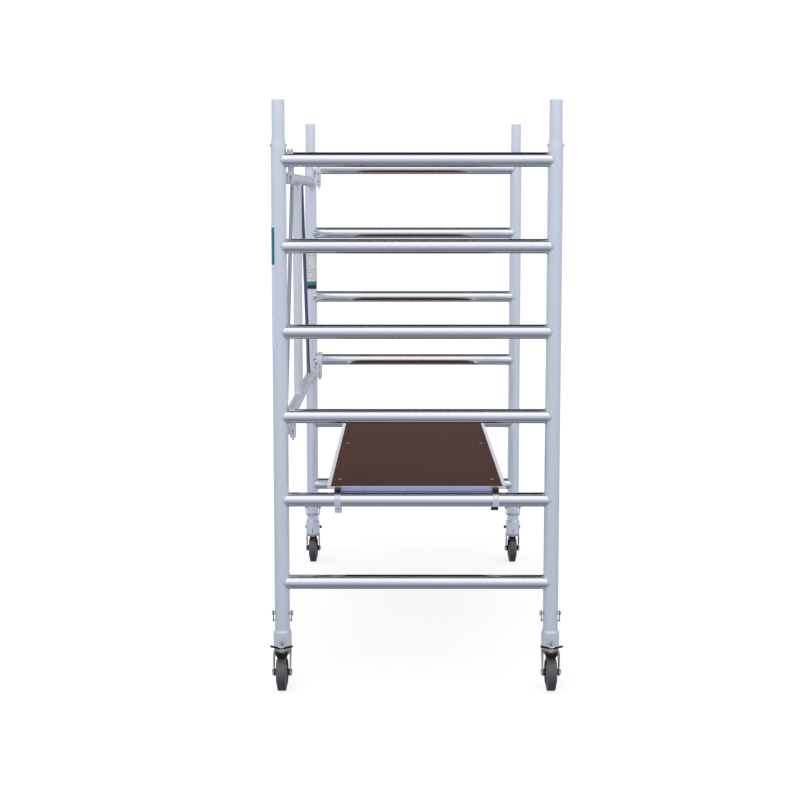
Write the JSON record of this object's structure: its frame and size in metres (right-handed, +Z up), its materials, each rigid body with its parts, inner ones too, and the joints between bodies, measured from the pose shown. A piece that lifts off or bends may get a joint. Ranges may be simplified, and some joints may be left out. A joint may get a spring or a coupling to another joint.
{
  "type": "mobile tower scaffold",
  "caption": "Narrow aluminium mobile tower scaffold with two ladder frames, a hook-on timber platform, a side guardrail and braked swivel castors.",
  "frame": {"origin": "middle of the footprint, on the floor the castors stand on", "axes": "+Z up; +Y along the platform, away from the ladder frame called front; +X across the tower, the guardrail being on the -X side"},
  "size_m": [0.975, 2.093, 1.956],
  "materials": {
    "upright_alloy": "satin extruded aluminium tube, faintly blue-grey",
    "rung_alloy": "bright polished aluminium tube",
    "label_film": "plain coloured adhesive film, no lettering",
    "zinc_steel": "zinc-plated pressed steel",
    "bright_steel": "bright zinc-plated steel",
    "castor_core": "dark grey moulded nylon",
    "castor_tyre": "dark grey elastic rubber",
    "button_steel": "turned steel",
    "deck_ply": "dark brown film-faced plywood with a fine anti-slip print",
    "rivet_alloy": "plain rivet",
    "beam_alloy": "mill-finish extruded aluminium",
    "claw_alloy": "satin aluminium",
    "black_plastic": "moulded black plastic",
    "rail_alloy": "satin extruded aluminium",
    "brace_alloy": "slate-grey anodised aluminium",
    "latch_alloy": "satin aluminium"
  },
  "bodies": {
    "frame": {"castor_lock_pins": "bright_steel", "castor_stems": "zinc_steel", "labels": "label_film", "rungs_front": "rung_alloy", "rungs_rear": "rung_alloy", "upright_front_left": "upright_alloy", "upright_front_right": "upright_alloy", "upright_rear_left": "upright_alloy", "upright_rear_right": "upright_alloy"},
    "button_outer_front_left": {"button_outer_front_left": "button_steel"},
    "button_inner_front_left": {"button_inner_front_left": "button_steel"},
    "bail_front_left": {"pin_bail_front_left": "bright_steel"},
    "castor_front_left": {"castor_fork_front_left": "zinc_steel", "axle_bolt_front_left": "bright_steel"},
    "wheel_front_left": {"wheel_core_front_left": "castor_core", "tyre_front_left": "castor_tyre"},
    "pedal_front_left": {"brake_pedal_front_left": "zinc_steel"},
    "button_outer_front_right": {"button_outer_front_right": "button_steel"},
    "button_inner_front_right": {"button_inner_front_right": "button_steel"},
    "bail_front_right": {"pin_bail_front_right": "bright_steel"},
    "castor_front_right": {"castor_fork_front_right": "zinc_steel", "axle_bolt_front_right": "bright_steel"},
    "wheel_front_right": {"wheel_core_front_right": "castor_core", "tyre_front_right": "castor_tyre"},
    "pedal_front_right": {"brake_pedal_front_right": "zinc_steel"},
    "button_outer_rear_left": {"button_outer_rear_left": "button_steel"},
    "button_inner_rear_left": {"button_inner_rear_left": "button_steel"},
    "bail_rear_left": {"pin_bail_rear_left": "bright_steel"},
    "castor_rear_left": {"castor_fork_rear_left": "zinc_steel", "axle_bolt_rear_left": "bright_steel"},
    "wheel_rear_left": {"wheel_core_rear_left": "castor_core", "tyre_rear_left": "castor_tyre"},
    "pedal_rear_left": {"brake_pedal_rear_left": "zinc_steel"},
    "button_outer_rear_right": {"button_outer_rear_right": "button_steel"},
    "button_inner_rear_right": {"button_inner_rear_right": "button_steel"},
    "bail_rear_right": {"pin_bail_rear_right": "bright_steel"},
    "castor_rear_right": {"castor_fork_rear_right": "zinc_steel", "axle_bolt_rear_right": "bright_steel"},
    "wheel_rear_right": {"wheel_core_rear_right": "castor_core", "tyre_rear_right": "castor_tyre"},
    "pedal_rear_right": {"brake_pedal_rear_right": "zinc_steel"},
    "platform": {"deck_panel": "deck_ply", "deck_rivets": "rivet_alloy", "side_beams": "beam_alloy", "platform_end_trims": "beam_alloy", "platform_crossbars": "beam_alloy", "platform_claws": "claw_alloy", "platform_end_caps": "black_plastic"},
    "wind_lock_front_left": {"wind_lock_front_left": "claw_alloy"},
    "wind_lock_front_right": {"wind_lock_front_right": "black_plastic"},
    "wind_lock_rear_left": {"wind_lock_rear_left": "black_plastic"},
    "wind_lock_rear_right": {"wind_lock_rear_right": "claw_alloy"},
    "guardrail": {"guardrail_rails": "rail_alloy", "guardrail_post": "rail_alloy", "guardrail_braces": "brace_alloy", "guardrail_claws": "rail_alloy"},
    "latch_top_front": {"guard_latch_top_front": "latch_alloy"},
    "latch_top_rear": {"guard_latch_top_rear": "latch_alloy"},
    "latch_low_front": {"guard_latch_low_front": "latch_alloy"},
    "latch_low_rear": {"guard_latch_low_rear": "latch_alloy"}
  },
  "joints": [
    {"name": "button_outer_front_left_press", "type": "slide", "parent": "frame", "child": "button_outer_front_left", "axis": [1, 0, 0], "range_m": [0, 0.0035], "stiffness_N_per_m": 900},
    {"name": "button_inner_front_left_press", "type": "slide", "parent": "frame", "child": "button_inner_front_left", "axis": [-1, 0, 0], "range_m": [0, 0.0035], "stiffness_N_per_m": 900},
    {"name": "bail_front_left_swing", "type": "hinge", "parent": "frame", "child": "bail_front_left", "pos_m": [-0.45, -0.95, 0.257], "axis": [1, 0, 0], "range_deg": [0, 90]},
    {"name": "castor_front_left_swivel", "type": "hinge", "parent": "frame", "child": "castor_front_left", "pos_m": [-0.45, -0.95, 0.13], "axis": [0, 0, 1], "continuous": true},
    {"name": "wheel_front_left_roll", "type": "hinge", "parent": "castor_front_left", "child": "wheel_front_left", "pos_m": [-0.45, -0.984, 0.0625], "axis": [1, 0, 0], "continuous": true},
    {"name": "pedal_front_left_press", "type": "hinge", "parent": "castor_front_left", "child": "pedal_front_left", "pos_m": [-0.45, -0.99, 0.1375], "axis": [1, 0, 0], "range_deg": [0, 22], "stiffness_Nm_per_rad": 0.5},
    {"name": "button_outer_front_right_press", "type": "slide", "parent": "frame", "child": "button_outer_front_right", "axis": [-1, 0, 0], "range_m": [0, 0.0035], "stiffness_N_per_m": 900},
    {"name": "button_inner_front_right_press", "type": "slide", "parent": "frame", "child": "button_inner_front_right", "axis": [1, 0, 0], "range_m": [0, 0.0035], "stiffness_N_per_m": 900},
    {"name": "bail_front_right_swing", "type": "hinge", "parent": "frame", "child": "bail_front_right", "pos_m": [0.45, -0.95, 0.257], "axis": [1, 0, 0], "range_deg": [0, 90]},
    {"name": "castor_front_right_swivel", "type": "hinge", "parent": "frame", "child": "castor_front_right", "pos_m": [0.45, -0.95, 0.13], "axis": [0, 0, 1], "continuous": true},
    {"name": "wheel_front_right_roll", "type": "hinge", "parent": "castor_front_right", "child": "wheel_front_right", "pos_m": [0.45, -0.984, 0.0625], "axis": [1, 0, 0], "continuous": true},
    {"name": "pedal_front_right_press", "type": "hinge", "parent": "castor_front_right", "child": "pedal_front_right", "pos_m": [0.45, -0.99, 0.1375], "axis": [1, 0, 0], "range_deg": [0, 22], "stiffness_Nm_per_rad": 0.5},
    {"name": "button_outer_rear_left_press", "type": "slide", "parent": "frame", "child": "button_outer_rear_left", "axis": [1, 0, 0], "range_m": [0, 0.0035], "stiffness_N_per_m": 900},
    {"name": "button_inner_rear_left_press", "type": "slide", "parent": "frame", "child": "button_inner_rear_left", "axis": [-1, 0, 0], "range_m": [0, 0.0035], "stiffness_N_per_m": 900},
    {"name": "bail_rear_left_swing", "type": "hinge", "parent": "frame", "child": "bail_rear_left", "pos_m": [-0.45, 0.95, 0.257], "axis": [-1, 0, 0], "range_deg": [0, 90]},
    {"name": "castor_rear_left_swivel", "type": "hinge", "parent": "frame", "child": "castor_rear_left", "pos_m": [-0.45, 0.95, 0.13], "axis": [0, 0, 1], "continuous": true},
    {"name": "wheel_rear_left_roll", "type": "hinge", "parent": "castor_rear_left", "child": "wheel_rear_left", "pos_m": [-0.45, 0.984, 0.0625], "axis": [1, 0, 0], "continuous": true},
    {"name": "pedal_rear_left_press", "type": "hinge", "parent": "castor_rear_left", "child": "pedal_rear_left", "pos_m": [-0.45, 0.99, 0.1375], "axis": [-1, 0, 0], "range_deg": [0, 22], "stiffness_Nm_per_rad": 0.5},
    {"name": "button_outer_rear_right_press", "type": "slide", "parent": "frame", "child": "button_outer_rear_right", "axis": [-1, 0, 0], "range_m": [0, 0.0035], "stiffness_N_per_m": 900},
    {"name": "button_inner_rear_right_press", "type": "slide", "parent": "frame", "child": "button_inner_rear_right", "axis": [1, 0, 0], "range_m": [0, 0.0035], "stiffness_N_per_m": 900},
    {"name": "bail_rear_right_swing", "type": "hinge", "parent": "frame", "child": "bail_rear_right", "pos_m": [0.45, 0.95, 0.257], "axis": [-1, 0, 0], "range_deg": [0, 90]},
    {"name": "castor_rear_right_swivel", "type": "hinge", "parent": "frame", "child": "castor_rear_right", "pos_m": [0.45, 0.95, 0.13], "axis": [0, 0, 1], "continuous": true},
    {"name": "wheel_rear_right_roll", "type": "hinge", "parent": "castor_rear_right", "child": "wheel_rear_right", "pos_m": [0.45, 0.984, 0.0625], "axis": [1, 0, 0], "continuous": true},
    {"name": "pedal_rear_right_press", "type": "hinge", "parent": "castor_rear_right", "child": "pedal_rear_right", "pos_m": [0.45, 0.99, 0.1375], "axis": [-1, 0, 0], "range_deg": [0, 22], "stiffness_Nm_per_rad": 0.5},
    {"name": "platform_lift", "type": "slide", "parent": "frame", "child": "platform", "axis": [0, 0, 1], "range_m": [0, 0.2]},
    {"name": "wind_lock_front_left_turn", "type": "hinge", "parent": "platform", "child": "wind_lock_front_left", "pos_m": [-0.263, -0.9776, 0.6205], "axis": [1, 0, 0], "range_deg": [0, 75]},
    {"name": "wind_lock_front_right_turn", "type": "hinge", "parent": "platform", "child": "wind_lock_front_right", "pos_m": [0.263, -0.9776, 0.6205], "axis": [1, 0, 0], "range_deg": [0, 75]},
    {"name": "wind_lock_rear_left_turn", "type": "hinge", "parent": "platform", "child": "wind_lock_rear_left", "pos_m": [-0.263, 0.9776, 0.6205], "axis": [-1, 0, 0], "range_deg": [0, 75]},
    {"name": "wind_lock_rear_right_turn", "type": "hinge", "parent": "platform", "child": "wind_lock_rear_right", "pos_m": [0.263, 0.9776, 0.6205], "axis": [-1, 0, 0], "range_deg": [0, 75]},
    {"name": "guardrail_lift", "type": "slide", "parent": "frame", "child": "guardrail", "axis": [0, 0, 1], "range_m": [0, 0.1]},
    {"name": "latch_top_front_turn", "type": "hinge", "parent": "guardrail", "child": "latch_top_front", "pos_m": [-0.413, -0.906, 1.712], "axis": [1, 0, 0], "range_deg": [0, 50]},
    {"name": "latch_top_rear_turn", "type": "hinge", "parent": "guardrail", "child": "latch_top_rear", "pos_m": [-0.413, 0.906, 1.712], "axis": [-1, 0, 0], "range_deg": [0, 50]},
    {"name": "latch_low_front_turn", "type": "hinge", "parent": "guardrail", "child": "latch_low_front", "pos_m": [-0.413, -0.906, 0.872], "axis": [1, 0, 0], "range_deg": [0, 50]},
    {"name": "latch_low_rear_turn", "type": "hinge", "parent": "guardrail", "child": "latch_low_rear", "pos_m": [-0.413, 0.906, 0.872], "axis": [-1, 0, 0], "range_deg": [0, 50]}
  ]
}
